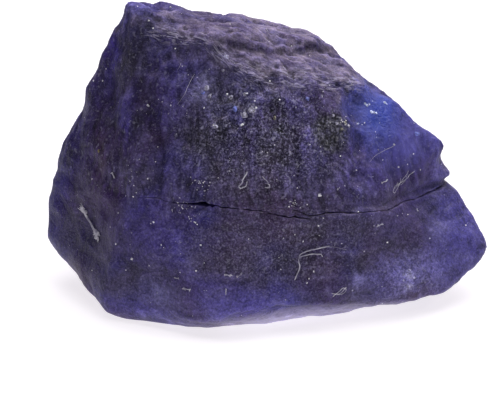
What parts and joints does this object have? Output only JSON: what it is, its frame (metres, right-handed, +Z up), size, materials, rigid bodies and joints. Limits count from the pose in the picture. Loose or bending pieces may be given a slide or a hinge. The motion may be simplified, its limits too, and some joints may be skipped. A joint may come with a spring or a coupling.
{
  "type": "rough sapphire",
  "caption": "Rough, broken lump of blue-violet sapphire with a sloping top, a blunt wedge at one end and a crack part way round, lying on its flattest side.",
  "frame": {"origin": "on the surface that the stone lies on, under the middle of its bounding box", "axes": "+X along the longest extent towards the blunt wedge, +Z up, -Y towards the face with the crack"},
  "size_m": [0.0368, 0.0222, 0.0247],
  "materials": {
    "corundum": "rough natural fracture, waxy to satin, dark blue-violet and slightly translucent at thin edges"
  },
  "bodies": {
    "root": {"sapphire": "corundum"}
  },
  "joints": []
}
